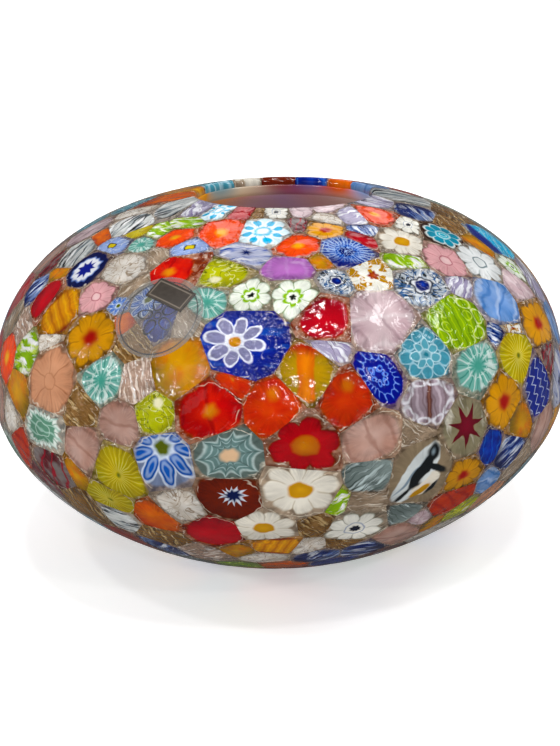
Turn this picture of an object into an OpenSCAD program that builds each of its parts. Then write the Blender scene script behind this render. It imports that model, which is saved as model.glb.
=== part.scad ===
// Art glass bowl: a hollow clear gather with a skin of fused murrine slices.
// Millimetres, +Z up, resting on z = 0. Azimuth 0 faces -Y and grows towards +X.
// Latitude is the angle seen from the centre of the widest circle.

/* [Bowl] */
// Widest diameter of the bowl
bowl_d = 200; // [180:1:220]
// Height of the full dome above the widest circle
dome_h = 69; // [64:1:76]
// Roundness exponent of the dome (2 is an ellipse, more is squarer)
dome_power = 2.3; // [2:0.1:2.5]
// Depth of the full underside below the widest circle
keel_h = 64; // [58:1:72]
// Roundness exponent of the underside
keel_power = 1.7; // [1.7:0.1:2.1]
// Radius of the flat the bowl rests on
base_r = 35; // [30:1:36]

/* [Mouth] */
// Radius of the round mouth
mouth_r = 30; // [27:0.5:32]
// Sideways offset of the hand-finished mouth from the axis
mouth_shift = 3.5; // [0:0.5:4]

/* [Walls] */
// Thickness of the murrine slices
slice_t = 3; // [2:0.5:4]
// Thickness of the clear wall under the slices
wall_t = 3.5; // [3:0.5:6]
// Thickness of the clear glass under the hollow
floor_t = 9; // [7:1:14]
// Width of the seam between neighbouring slices
seam = 0.2; // [0.1:0.05:0.4]

/* [Labels] */
// Diameter of the round film label
film_d = 28; // [24:1:32]
// Length of the rectangular label
tag_l = 14.5; // [12:0.5:16]
// Width of the rectangular label
tag_w = 7.5; // [6:0.5:8.5]
// Thickness of both labels
label_t = 0.25; // [0.2:0.05:0.4]

/* [Hidden] */
NODES = [
    "clear_glass_body", "round_film_label", "rectangle_label",
    "murrine_red_plain", "murrine_red_orange_centre", "murrine_red_flower",
    "murrine_vermilion_blob", "murrine_salmon_red", "murrine_orange_flower",
    "murrine_orange_plain", "murrine_amber_plain", "murrine_amber_daisy",
    "murrine_amber_red_ends", "murrine_yellow_orange_stripe", "murrine_lime_scroll",
    "murrine_lime_white_stripe", "murrine_lime_twist", "murrine_pale_yellow_shell",
    "murrine_flesh_flower", "murrine_flesh_plain", "murrine_pink_plain",
    "murrine_pink_flower", "murrine_white_daisy_yellow", "murrine_white_daisy_ring",
    "murrine_white_daisy_dark", "murrine_white_ruffled", "murrine_white_black_stripe",
    "murrine_gold_white_red", "murrine_black_white_bird", "murrine_black_white_eye",
    "murrine_navy_white_stripe", "murrine_navy_ring_star", "murrine_cobalt_plain",
    "murrine_cobalt_flower", "murrine_cobalt_square_star", "murrine_cobalt_zigzag",
    "murrine_blue_dense_star", "murrine_blue_streak", "murrine_blue_white_olive",
    "murrine_cyan_cobalt", "murrine_light_blue_flower", "murrine_dark_outline_flower",
    "murrine_periwinkle_plain", "murrine_periwinkle_square", "murrine_turquoise_streak",
    "murrine_teal_white_flower", "murrine_grey_teal_star", "murrine_grey_teal_stripe",
    "murrine_green_white_flower", "murrine_green_white_star", "murrine_lavender_stripe",
    "murrine_lavender_brown", "murrine_mauve_plain", "murrine_maroon_star",
    "murrine_maroon_grey", "murrine_brown_red_star", "murrine_brown_clear",
    "murrine_clear_taupe", "murrine_clear_sparkle"
];
bowl_r = bowl_d / 2;
// Everything placed in millimetres on the skin grows with the bowl.
grow = bowl_d / 200;
// Height of the widest circle above the rest plane.
equator_z = keel_h * pow(1 - pow(base_r / bowl_r, keel_power), 1 / keel_power);
// Angle of one conical band of the skin.
band = 4;
// Bands run from just above the rest flat to inside the mouth cut.
low_band = -14;
high_band = 18;
// Half width of the slices set by rule, and the distance between them.
rule_half = 8 * grow;
rule_gap = 15 * grow;
// Rows of slices set by rule, one every rule_step degrees of latitude.
rule_low = -51;
rule_high = 61;
rule_step = 9.3;
// Share of the two half widths that a ruled slice keeps clear of a placed one.
keep_off = 0.76;
// A slice patch reaches this far from its centre before its neighbours trim it.
patch_reach = 25 * grow;
// Size of the block that trims a patch beyond a seam.
block = 70 * grow;
// Neighbours whose seam passes this close to a slice outline trim the slice.
seam_margin = 2.5 * grow;
// Label places: azimuth, latitude and lean of the long side.
film_az = -25;
film_lat = 28;
tag_az = -24;
tag_lat = 32.5;
tag_lean = -20;
// Length of the tools that cut the labels and the mouth.
tool_l = 60;
$fn = 96;

// Slices set one by one: kind, azimuth, latitude, half width.
PLACED = [
    // round the mouth
    ["light_blue_flower", -29, 61, 6], ["red_plain", -17, 61, 6],
    ["brown_clear", -8, 61, 5], ["white_daisy_dark", 1, 61, 6],
    ["pink_plain", 13, 61, 5], ["white_ruffled", 22, 56, 6],
    ["pink_plain", 29, 61, 5], ["lavender_stripe", 35, 56, 7],
    ["orange_flower", 45, 54, 8], ["lavender_stripe", 60, 59, 7],
    ["navy_white_stripe", 66, 51, 8], ["white_black_stripe", 84, 55, 9],
    ["lavender_stripe", -42, 61, 5], ["orange_plain", -88, 57, 7],
    ["white_black_stripe", -59, 57, 7], ["white_black_stripe", -63, 50, 9],
    ["white_ruffled", -76, 53, 6],
    // shoulder, left
    ["lime_white_stripe", -43, 49, 5], ["lime_white_stripe", -37, 54, 5],
    ["orange_flower", -34, 48, 7], ["orange_flower", -18, 52, 9],
    ["light_blue_flower", -4, 52, 10], ["maroon_grey", 9, 54, 6],
    ["periwinkle_square", -27, 45, 7], ["blue_streak", -9, 44, 8],
    ["orange_flower", 7, 46, 8], ["clear_taupe", -34, 42, 5],
    ["red_orange_centre", -24, 39, 9], ["lime_twist", -13, 38, 9],
    ["mauve_plain", 4, 39, 8],
    ["turquoise_streak", -44, 44, 6], ["periwinkle_square", -53, 42, 7],
    ["pale_yellow_shell", -53, 47, 5], ["orange_plain", -66, 43, 5],
    ["pink_plain", -80, 42, 8], ["white_black_stripe", -67, 37, 8],
    ["navy_ring_star", -53, 36, 9], ["white_ruffled", -42, 37, 9],
    ["maroon_grey", -73, 33, 5], ["amber_plain", -65, 32, 4],
    ["flesh_plain", -82, 32, 6], ["navy_white_stripe", -68, 27, 5],
    ["red_plain", -80, 23, 7], ["red_plain", -60, 26, 8],
    ["amber_red_ends", -52, 25, 9], ["pink_flower", -43, 31, 8],
    ["clear_taupe", -36, 33, 5],
    ["clear_sparkle", -63, 20, 6], ["clear_taupe", -71, 19, 5],
    ["white_ruffled", -51, 21, 5], ["orange_flower", -66, 13, 7],
    ["lime_white_stripe", -57, 16, 7], ["red_plain", -75, 10, 7],
    // shoulder, right
    ["amber_plain", 12, 41, 6], ["blue_dense_star", 20, 43, 9],
    ["red_plain", 27, 46, 6], ["navy_white_stripe", 32, 49, 5],
    ["amber_daisy", 17, 52, 7], ["white_daisy_dark", 50, 47, 7],
    ["white_daisy_yellow", 39, 43, 9], ["dark_outline_flower", 56, 42, 9],
    ["brown_clear", 68, 43, 7], ["pink_flower", 47, 36, 10],
    ["lime_white_stripe", 35, 37, 8], ["white_daisy_ring", 57, 33, 10],
    ["amber_plain", 67, 37, 6], ["cyan_cobalt", 77, 35, 9],
    ["brown_clear", 84, 44, 7], ["green_white_flower", 71, 28, 6],
    ["lavender_stripe", 77, 23, 7], ["pink_plain", 64, 24, 8],
    ["periwinkle_plain", 52, 25, 10], ["lavender_stripe", 45, 31, 7],
    ["gold_white_red", 23, 36, 8], ["black_white_eye", 34, 32, 10],
    ["black_white_eye", 13, 35, 7], ["lime_scroll", 37, 23, 11],
    ["gold_white_red", 51, 20, 5], ["navy_white_stripe", 47, 18, 5],
    ["amber_daisy", 63, 18, 10],
    ["periwinkle_plain", 76, 14, 7],
    // belly, left
    ["amber_daisy", -38, 22, 10], ["orange_plain", -33, 25, 6],
    ["brown_clear", -29, 22, 7], ["blue_white_olive", -35, 29, 5],
    ["blue_white_olive", -29, 30, 6], ["cobalt_plain", -24, 27, 7],
    ["clear_taupe", -19, 27, 6], ["turquoise_streak", -14, 32, 8],
    ["flesh_flower", -46, 13, 11], ["amber_plain", -57, 9, 6],
    ["turquoise_streak", -33, 16, 9], ["clear_sparkle", -26, 16, 8],
    ["amber_plain", -18, 19, 10], ["brown_clear", -37, 10, 7],
    ["flesh_plain", -28, 9, 8], ["green_white_star", -46, 4, 9],
    ["flesh_plain", -36, 3, 8], ["lime_twist", -22, 11, 8],
    ["white_ruffled", -60, 3, 6], ["salmon_red", -57, -2, 6],
    ["maroon_grey", -46, -3, 9], ["amber_plain", -39, -1, 4],
    ["pale_yellow_shell", -29, 0, 10], ["pale_yellow_shell", -31, -6, 8],
    ["blue_white_olive", -20, 3, 10], ["red_orange_centre", -12, 12, 11],
    // belly, front
    ["green_white_flower", -6, 32, 9], ["green_white_flower", 4, 33, 9],
    ["cobalt_flower", -6, 24, 13], ["red_plain", 10, 28, 10],
    ["lavender_stripe", 9, 22, 7],
    ["pink_plain", 21, 26, 12], ["yellow_orange_stripe", 5, 18, 10],
    ["vermilion_blob", -8, 17, 8], ["vermilion_blob", -1, 13, 10],
    ["vermilion_blob", 12, 13, 11], ["cobalt_square_star", 18, 16, 10],
    ["red_flower", 4, 6, 12],
    ["grey_teal_star", -9, 5, 11], ["flesh_plain", 15, 7, 11],
    ["grey_teal_stripe", 15, 1, 9], ["white_daisy_yellow", 3, -1, 12],
    ["brown_red_star", -9, -2, 10],
    // belly, right
    ["teal_white_flower", 27, 19, 11], ["turquoise_streak", 38, 15, 10],
    ["lavender_brown", 26, 12, 10],
    ["pale_yellow_shell", 49, 14, 9], ["maroon_grey", 62, 11, 7],
    ["cobalt_zigzag", 55, 7, 10], ["amber_daisy", 43, 8, 10],
    ["maroon_star", 33, 5, 10], ["amber_plain", 47, 3, 8],
    ["clear_taupe", 23, 6, 7],
    ["cobalt_plain", 39, 1, 7], ["navy_white_stripe", 45, -2, 8],
    ["flesh_plain", 57, -1, 7], ["black_white_bird", 24, -1, 12],
    ["amber_daisy", 33, -4, 9],
    // underside, front
    ["white_ruffled", -18, -5, 8], ["lime_white_stripe", 9, -4, 6],
    ["clear_taupe", 14, -5, 7], ["brown_clear", 6, -9, 6],
    ["white_daisy_yellow", -3, -10, 9], ["white_daisy_dark", 14, -11, 10],
    ["orange_plain", -24, -9, 8], ["white_black_stripe", -32, -11, 7],
    ["red_plain", -13, -12, 9], ["brown_clear", -42, -11, 8],
    ["maroon_grey", -51, -7, 6],
    ["brown_clear", -25, -16, 8], ["amber_plain", -9, -18, 6],
    ["amber_red_ends", -2, -16, 8], ["white_ruffled", 5, -18, 6],
    ["white_ruffled", -4, -22, 6], ["clear_sparkle", -19, -22, 8],
    ["navy_white_stripe", 8, -23, 8], ["navy_white_stripe", 17, -22, 8],
    ["brown_clear", 12, -17, 6], ["flesh_plain", 24, -17, 8],
    ["grey_teal_stripe", 22, -9, 7], ["salmon_red", 33, -9, 9],
    ["pink_plain", 27, -13, 6], ["amber_plain", 32, -15, 5],
    ["periwinkle_plain", 41, -7, 6], ["clear_taupe", 50, -7, 7],
    ["lime_twist", 38, -14, 7]
];

// Kinds are handed to the ruled slices in this order, one stride apart.
KINDS = [for (k = [3 : len(NODES) - 1]) NODES[k]];
kind_stride = 23;

function unit(v) = v / norm(v);
function semi(lat) = lat >= 0 ? dome_h : keel_h;
function power(lat) = lat >= 0 ? dome_power : keel_power;
// Distance from the centre of the widest circle to the skin.
function reach(lat) = 1 / pow(
    pow(cos(lat) / bowl_r, power(lat)) + pow(abs(sin(lat)) / semi(lat), power(lat)),
    1 / power(lat));
function skin(lat) = reach(lat) * [cos(lat), sin(lat)];
// Outward direction of the skin in the radius and height plane.
function outward(lat) = let (s = skin(lat), p = power(lat) - 1) unit([
    pow(s.x / bowl_r, p) / bowl_r,
    sign(lat) * pow(abs(s.y) / semi(lat), p) / semi(lat)]);
// Point of the half section at a depth under the skin.
function below(lat, depth) = skin(lat) - depth * outward(lat) + [0, equator_z];
// The same point in space.
function spot(az, lat, depth) = let (s = below(lat, depth))
    [s.x * sin(az), -s.x * cos(az), s.y];
// Repeatable scatter between -1 and 1.
function scatter(k) = let (v = sin(k * 97.3) * 431.7) 2 * (v - floor(v)) - 1;

PLACED_SPOTS = [for (s = PLACED) spot(s[1], s[2], 0)];
function clear_of_placed(p) = min([for (k = [0 : len(PLACED) - 1])
    norm(p - PLACED_SPOTS[k]) - keep_off * (PLACED[k][3] * grow + rule_half)]) > 0;
// Slices set by rule fill the rest of the skin in scattered rows.
RULED = [for (row = [0 : floor((rule_high - rule_low) / rule_step)])
    let (
        lat0 = rule_low + row * rule_step,
        count = round(360 * skin(lat0).x * PI / 180 / rule_gap)
    )
    for (k = [0 : count - 1])
        let (
            tag = row * 61 + k,
            az = (k + 0.5 * (row % 2) + 0.2 * scatter(tag)) * 360 / count,
            lat = lat0 + 1.5 * scatter(tag + 7),
            half = rule_half / grow * (1 + 0.15 * scatter(tag + 3))
        )
        if (clear_of_placed(spot(az, lat, 0)))
            [KINDS[(tag * kind_stride) % len(KINDS)], az, lat, half]];
// Ruled slices carry full node names, placed ones only the kind.
SLICES = concat([for (s = PLACED) [str("murrine_", s[0]), s[1], s[2], s[3]]], RULED);
SPOTS = [for (s = SLICES) spot(s[1], s[2], 0)];
HALVES = [for (s = SLICES) s[3] * grow];

// Half section of a skin layer between two depths, over a run of bands.
module layer_section(from_band, to_band, outer, inner) {
    polygon(concat(
        [for (k = [from_band : to_band]) below(k * band, outer)],
        [for (k = [to_band : -1 : from_band]) below(k * band, inner)]));
}

// Part of a skin layer around one azimuth and latitude.
module layer_patch(az, lat, half_reach, outer, inner) {
    s = skin(lat);
    half_lat = half_reach / norm(s) * 180 / PI;
    half_az = asin(min(0.99, half_reach / s.x));
    from_band = max(low_band, floor((lat - half_lat) / band));
    to_band = min(high_band, ceil((lat + half_lat) / band));
    rotate([0, 0, az - 90 - half_az])
        rotate_extrude(angle = 2 * half_az)
            layer_section(from_band, to_band, outer, inner);
}

// Mouth cut through the whole wall.
module mouth_cut() {
    translate([mouth_shift, 0, equator_z])
        cylinder(h = 2 * dome_h, r = mouth_r);
}

// Distance from slice i to its seam with slice j, along the line between them.
function seam_at(i, j) = let (d = norm(SPOTS[j] - SPOTS[i]))
    (d * d + pow(HALVES[i], 2) - pow(HALVES[j], 2)) / (2 * d);
// Outline trimmed by the straight line u * p = s.
function trim(outline, u, s) = [for (k = [0 : len(outline) - 1])
    let (
        a = outline[k],
        b = outline[(k + 1) % len(outline)],
        da = s - a * u,
        db = s - b * u
    )
    each concat(da >= 0 ? [a] : [], da * db < 0 ? [a + (b - a) * da / (da - db)] : [])];
function trim_all(outline, lines, k = 0) = k == len(lines) ? outline :
    trim_all(trim(outline, lines[k][0], lines[k][1]), lines, k + 1);

// Everything on the far side of the seam between slices i and j.
module beyond_seam(i, j) {
    u = unit(SPOTS[j] - SPOTS[i]);
    translate(SPOTS[i] + u * (seam_at(i, j) - seam / 2))
        rotate([0, acos(u.z), atan2(u.y, u.x)])
            translate([-block, -block, 0])
                cube([2 * block, 2 * block, block]);
}

// One slice: a patch of the murrine layer trimmed along its seams.
module slice(i) {
    az = SLICES[i][1];
    lat = SLICES[i][2];
    across = [cos(az), sin(az), 0];
    n = outward(lat);
    up = cross([n.x * sin(az), -n.x * cos(az), n.y], across);
    near = [for (j = [0 : len(SLICES) - 1])
        if (j != i && norm(SPOTS[j] - SPOTS[i]) < 2 * patch_reach) j];
    lines = [for (j = near) let (u = unit(SPOTS[j] - SPOTS[i])) [[u * across, u * up], seam_at(i, j)]];
    q = patch_reach;
    outline = trim_all([[-q, -q], [q, -q], [q, q], [-q, q]], lines);
    if (len(outline) > 2) {
        touching = [for (k = [0 : len(near) - 1])
            if (min([for (v = outline) lines[k][1] - v * lines[k][0]]) < seam_margin) near[k]];
        difference() {
            layer_patch(az, lat, patch_reach, 0, slice_t);
            for (j = touching) beyond_seam(i, j);
            if (lat > 45) mouth_cut();
        }
    }
}

module slices(kind) {
    for (i = [0 : len(SLICES) - 1])
        if (SLICES[i][0] == kind) slice(i);
}

// Frame of a label: origin on the skin, Z outward, X along the parallel.
module on_skin(az, lat) {
    translate(spot(az, lat, 0))
        rotate([0, 0, az])
            rotate([atan2(outward(lat).x, outward(lat).y), 0, 0])
                children();
}

module tag_block() {
    on_skin(tag_az, tag_lat)
        rotate([0, 0, tag_lean])
            translate([-tag_l / 2, -tag_w / 2, -tool_l / 2])
                cube([tag_l, tag_w, tool_l]);
}

module clear_glass_body() {
    color([0.85, 0.88, 0.88, 0.35])
        difference() {
            rotate_extrude()
                polygon(concat(
                    [[0, 0], [base_r, 0]],
                    [for (k = [low_band : high_band]) below(k * band, k == low_band ? 0 : slice_t)],
                    [[0, equator_z + dome_h - slice_t]]));
            hollow();
            mouth_cut();
        }
}

// The hollow: a squashed round chamber with a domed roof and a bowl-shaped floor.
module hollow() {
    side = bowl_r - slice_t - wall_t;
    roof = dome_h - slice_t - wall_t;
    well = equator_z - floor_t;
    function inner_reach(lat) = let (h = lat >= 0 ? roof : well, p = lat >= 0 ? dome_power : 2.1)
        1 / pow(pow(cos(lat) / side, p) + pow(abs(sin(lat)) / h, p), 1 / p);
    rotate_extrude()
        polygon([for (lat = [-90 : 6 : 90])
            [abs(lat) == 90 ? 0 : inner_reach(lat) * cos(lat), equator_z + inner_reach(lat) * sin(lat)]]);
}

module round_film_label() {
    color([0.75, 0.78, 0.76, 0.5])
        difference() {
            intersection() {
                layer_patch(film_az, film_lat, patch_reach, -label_t, 0);
                on_skin(film_az, film_lat)
                    cylinder(h = tool_l, d = film_d, center = true);
            }
            tag_block();
        }
}

module rectangle_label() {
    color([0.2, 0.18, 0.16])
        intersection() {
            layer_patch(tag_az, tag_lat, patch_reach, -label_t, 0);
            tag_block();
        }
}

module murrine_red_plain() {
    color([0.7, 0.02, 0.06]) slices("murrine_red_plain");
}

module murrine_red_orange_centre() {
    color([0.8, 0.05, 0.03]) slices("murrine_red_orange_centre");
}

module murrine_red_flower() {
    color([0.68, 0.02, 0.05]) slices("murrine_red_flower");
}

module murrine_vermilion_blob() {
    color([0.85, 0.12, 0.02]) slices("murrine_vermilion_blob");
}

module murrine_salmon_red() {
    color([0.75, 0.35, 0.3]) slices("murrine_salmon_red");
}

module murrine_orange_flower() {
    color([0.98, 0.33, 0.02]) slices("murrine_orange_flower");
}

module murrine_orange_plain() {
    color([0.9, 0.36, 0.03]) slices("murrine_orange_plain");
}

module murrine_amber_plain() {
    color([0.8, 0.55, 0.03]) slices("murrine_amber_plain");
}

module murrine_amber_daisy() {
    color([0.86, 0.6, 0.03]) slices("murrine_amber_daisy");
}

module murrine_amber_red_ends() {
    color([0.93, 0.58, 0.05]) slices("murrine_amber_red_ends");
}

module murrine_yellow_orange_stripe() {
    color([0.82, 0.6, 0.03]) slices("murrine_yellow_orange_stripe");
}

module murrine_lime_scroll() {
    color([0.5, 0.7, 0.05]) slices("murrine_lime_scroll");
}

module murrine_lime_white_stripe() {
    color([0.68, 0.78, 0.25]) slices("murrine_lime_white_stripe");
}

module murrine_lime_twist() {
    color([0.7, 0.68, 0.15]) slices("murrine_lime_twist");
}

module murrine_pale_yellow_shell() {
    color([0.74, 0.7, 0.36]) slices("murrine_pale_yellow_shell");
}

module murrine_flesh_flower() {
    color([0.8, 0.62, 0.5]) slices("murrine_flesh_flower");
}

module murrine_flesh_plain() {
    color([0.76, 0.58, 0.46]) slices("murrine_flesh_plain");
}

module murrine_pink_plain() {
    color([0.84, 0.73, 0.75]) slices("murrine_pink_plain");
}

module murrine_pink_flower() {
    color([0.86, 0.7, 0.7]) slices("murrine_pink_flower");
}

module murrine_white_daisy_yellow() {
    color([0.93, 0.91, 0.85]) slices("murrine_white_daisy_yellow");
}

module murrine_white_daisy_ring() {
    color([0.95, 0.95, 0.95]) slices("murrine_white_daisy_ring");
}

module murrine_white_daisy_dark() {
    color([0.88, 0.88, 0.84]) slices("murrine_white_daisy_dark");
}

module murrine_white_ruffled() {
    color([0.92, 0.9, 0.86]) slices("murrine_white_ruffled");
}

module murrine_white_black_stripe() {
    color([0.75, 0.78, 0.77]) slices("murrine_white_black_stripe");
}

module murrine_gold_white_red() {
    color([0.78, 0.62, 0.25]) slices("murrine_gold_white_red");
}

module murrine_black_white_bird() {
    color([0.22, 0.24, 0.24]) slices("murrine_black_white_bird");
}

module murrine_black_white_eye() {
    color([0.5, 0.56, 0.64]) slices("murrine_black_white_eye");
}

module murrine_navy_white_stripe() {
    color([0.28, 0.32, 0.5]) slices("murrine_navy_white_stripe");
}

module murrine_navy_ring_star() {
    color([0.16, 0.19, 0.42]) slices("murrine_navy_ring_star");
}

module murrine_cobalt_plain() {
    color([0.12, 0.16, 0.5]) slices("murrine_cobalt_plain");
}

module murrine_cobalt_flower() {
    color([0.1, 0.18, 0.6]) slices("murrine_cobalt_flower");
}

module murrine_cobalt_square_star() {
    color([0.08, 0.12, 0.58]) slices("murrine_cobalt_square_star");
}

module murrine_cobalt_zigzag() {
    color([0.12, 0.2, 0.62]) slices("murrine_cobalt_zigzag");
}

module murrine_blue_dense_star() {
    color([0.3, 0.42, 0.72]) slices("murrine_blue_dense_star");
}

module murrine_blue_streak() {
    color([0.45, 0.55, 0.75]) slices("murrine_blue_streak");
}

module murrine_blue_white_olive() {
    color([0.45, 0.52, 0.62]) slices("murrine_blue_white_olive");
}

module murrine_cyan_cobalt() {
    color([0.35, 0.68, 0.85]) slices("murrine_cyan_cobalt");
}

module murrine_light_blue_flower() {
    color([0.62, 0.82, 0.9]) slices("murrine_light_blue_flower");
}

module murrine_dark_outline_flower() {
    color([0.35, 0.55, 0.62]) slices("murrine_dark_outline_flower");
}

module murrine_periwinkle_plain() {
    color([0.45, 0.58, 0.82]) slices("murrine_periwinkle_plain");
}

module murrine_periwinkle_square() {
    color([0.65, 0.72, 0.85]) slices("murrine_periwinkle_square");
}

module murrine_turquoise_streak() {
    color([0.5, 0.72, 0.68]) slices("murrine_turquoise_streak");
}

module murrine_teal_white_flower() {
    color([0.45, 0.65, 0.7]) slices("murrine_teal_white_flower");
}

module murrine_grey_teal_star() {
    color([0.5, 0.58, 0.56]) slices("murrine_grey_teal_star");
}

module murrine_grey_teal_stripe() {
    color([0.5, 0.54, 0.54]) slices("murrine_grey_teal_stripe");
}

module murrine_green_white_flower() {
    color([0.75, 0.82, 0.62]) slices("murrine_green_white_flower");
}

module murrine_green_white_star() {
    color([0.48, 0.6, 0.5]) slices("murrine_green_white_star");
}

module murrine_lavender_stripe() {
    color([0.78, 0.74, 0.8]) slices("murrine_lavender_stripe");
}

module murrine_lavender_brown() {
    color([0.62, 0.56, 0.56]) slices("murrine_lavender_brown");
}

module murrine_mauve_plain() {
    color([0.68, 0.5, 0.7]) slices("murrine_mauve_plain");
}

module murrine_maroon_star() {
    color([0.42, 0.08, 0.12]) slices("murrine_maroon_star");
}

module murrine_maroon_grey() {
    color([0.48, 0.2, 0.2]) slices("murrine_maroon_grey");
}

module murrine_brown_red_star() {
    color([0.5, 0.22, 0.18]) slices("murrine_brown_red_star");
}

module murrine_brown_clear() {
    color([0.52, 0.38, 0.24]) slices("murrine_brown_clear");
}

module murrine_clear_taupe() {
    color([0.58, 0.48, 0.4]) slices("murrine_clear_taupe");
}

module murrine_clear_sparkle() {
    color([0.68, 0.58, 0.52]) slices("murrine_clear_sparkle");
}

clear_glass_body();
round_film_label();
rectangle_label();
murrine_red_plain();
murrine_red_orange_centre();
murrine_red_flower();
murrine_vermilion_blob();
murrine_salmon_red();
murrine_orange_flower();
murrine_orange_plain();
murrine_amber_plain();
murrine_amber_daisy();
murrine_amber_red_ends();
murrine_yellow_orange_stripe();
murrine_lime_scroll();
murrine_lime_white_stripe();
murrine_lime_twist();
murrine_pale_yellow_shell();
murrine_flesh_flower();
murrine_flesh_plain();
murrine_pink_plain();
murrine_pink_flower();
murrine_white_daisy_yellow();
murrine_white_daisy_ring();
murrine_white_daisy_dark();
murrine_white_ruffled();
murrine_white_black_stripe();
murrine_gold_white_red();
murrine_black_white_bird();
murrine_black_white_eye();
murrine_navy_white_stripe();
murrine_navy_ring_star();
murrine_cobalt_plain();
murrine_cobalt_flower();
murrine_cobalt_square_star();
murrine_cobalt_zigzag();
murrine_blue_dense_star();
murrine_blue_streak();
murrine_blue_white_olive();
murrine_cyan_cobalt();
murrine_light_blue_flower();
murrine_dark_outline_flower();
murrine_periwinkle_plain();
murrine_periwinkle_square();
murrine_turquoise_streak();
murrine_teal_white_flower();
murrine_grey_teal_star();
murrine_grey_teal_stripe();
murrine_green_white_flower();
murrine_green_white_star();
murrine_lavender_stripe();
murrine_lavender_brown();
murrine_mauve_plain();
murrine_maroon_star();
murrine_maroon_grey();
murrine_brown_red_star();
murrine_brown_clear();
murrine_clear_taupe();
murrine_clear_sparkle();
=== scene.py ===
"""Looks of the art glass bowl: every cane slice rebuilt smooth on the round skin of the
bowl, with the pattern of its cane, over the clear body, and two blank labels on top."""
import math
import random

import bpy
import numpy as np
from mathutils import Matrix, Vector


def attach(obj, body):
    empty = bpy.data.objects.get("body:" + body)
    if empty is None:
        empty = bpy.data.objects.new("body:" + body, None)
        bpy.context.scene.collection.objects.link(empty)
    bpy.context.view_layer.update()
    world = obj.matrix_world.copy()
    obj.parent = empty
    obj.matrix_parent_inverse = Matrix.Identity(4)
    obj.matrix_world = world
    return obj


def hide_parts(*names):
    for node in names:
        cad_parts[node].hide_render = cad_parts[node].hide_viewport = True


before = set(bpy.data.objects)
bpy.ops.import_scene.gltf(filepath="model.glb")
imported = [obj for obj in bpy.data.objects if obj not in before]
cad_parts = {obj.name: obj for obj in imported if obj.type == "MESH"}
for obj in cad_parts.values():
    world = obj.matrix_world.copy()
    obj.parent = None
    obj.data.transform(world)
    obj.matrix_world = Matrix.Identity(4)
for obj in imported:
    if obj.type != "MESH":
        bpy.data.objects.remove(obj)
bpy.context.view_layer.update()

MM = 0.001
# The bowl's own dimensions, as the CAD model has them.
BOWL_R = 100 * MM
DOME_H, DOME_POWER = 69 * MM, 2.3
KEEL_H, KEEL_POWER = 64 * MM, 1.7
BASE_R = 35 * MM
MOUTH_R, MOUTH_SHIFT = 30 * MM, 3.5 * MM
SLICE_T, WALL_T, FLOOR_T = 3 * MM, 3.5 * MM, 9 * MM
WELL_POWER = 2.1
SEAM = 0.2 * MM
FILM_R = 14 * MM
FILM_AZ, FILM_LAT = -25, 28
TAG_AZ, TAG_LAT, TAG_LEAN = -24, 32.5, -20
TAG_L, TAG_W = 14.5 * MM, 7.5 * MM
LABEL_T = 0.25 * MM
# Heights over the skin of the film's two faces and of the tag's lower face.
FILM_LOW, FILM_HIGH, TAG_LOW = 0.02 * MM, 0.16 * MM, 0.17 * MM
EQUATOR_Z = KEEL_H * (1 - (BASE_R / BOWL_R) ** KEEL_POWER) ** (1 / KEEL_POWER)
CENTRE = np.array([0, 0, EQUATOR_Z])

# Points closer than WELD are one. An outline has a corner where it turns by more degrees
# than CORNER_TURN, and a point every OUTLINE_STEP between its corners.
WELD = 0.01 * MM
CORNER_TURN = 14
OUTLINE_STEP = 1.3 * MM
# A slice has a ring of points at each of these shares of the way out to its outline.
RINGS = (0, 0.2, 0.4, 0.56, 0.69, 0.79, 0.87, 0.93, 0.97, 1)
# Its face lies TOP_DEPTH under the skin as far out as FLAT_SHARE, and from there to the
# outline sinks by its crown, which is drawn from the range CROWN.
TOP_DEPTH = 0.02 * MM
FLAT_SHARE, FALL_POWER = 0.4, 2.6
CROWN = (0.05 * MM, 0.16 * MM)
# The mouth's upper edge is rounded with LIP_R. Points of an outline within NEAR_MOUTH of
# its wall lie on it, and the cane is taken as CUT_WIDER times as wide towards them.
LIP_R = 2.2 * MM
NEAR_MOUTH = 0.35 * MM
CUT_WIDER = 1.5


# ---------------------------------------------------------------- the skin of the bowl
def reach(lat):
    """Distance from the centre to the skin at a latitude, in radians."""
    lat = np.asarray(lat, float)
    high = np.where(lat >= 0, DOME_H, KEEL_H)
    power = np.where(lat >= 0, DOME_POWER, KEEL_POWER)
    across = (np.cos(lat) / BOWL_R) ** power
    return (across + (np.abs(np.sin(lat)) / high) ** power) ** (-1 / power)


def outward(points):
    """Outward normals of the skin under points."""
    rel = points - CENTRE
    rho = np.hypot(rel[:, 0], rel[:, 1]) + 1e-12
    z = rel[:, 2]
    high = np.where(z >= 0, DOME_H, KEEL_H)
    power = np.where(z >= 0, DOME_POWER, KEEL_POWER) - 1
    side = (rho / BOWL_R) ** power / BOWL_R
    lift = np.sign(z) * (np.abs(z) / high) ** power / high
    normal = np.stack([rel[:, 0] / rho * side, rel[:, 1] / rho * side, lift], 1)
    return normal / np.linalg.norm(normal, axis=1)[:, None]


def latitude(points):
    rel = points - CENTRE
    return np.arctan2(rel[:, 2], np.hypot(rel[:, 0], rel[:, 1]))


def on_skin(points, depth=0.0):
    """Points moved along the line from the centre to the skin, then sunk by depth."""
    rel = points - CENTRE
    ratio = reach(latitude(points)) / np.linalg.norm(rel, axis=1)
    skin = CENTRE + rel * ratio[:, None]
    return skin - outward(skin) * np.reshape(depth, (-1, 1))


def spot(az, lat):
    """The point of the skin at an azimuth and a latitude, in degrees."""
    a, b = math.radians(az), math.radians(lat)
    toward = np.array([[math.cos(b) * math.sin(a), -math.cos(b) * math.cos(a), math.sin(b)]])
    return on_skin(CENTRE + toward * BOWL_R)[0]


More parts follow.
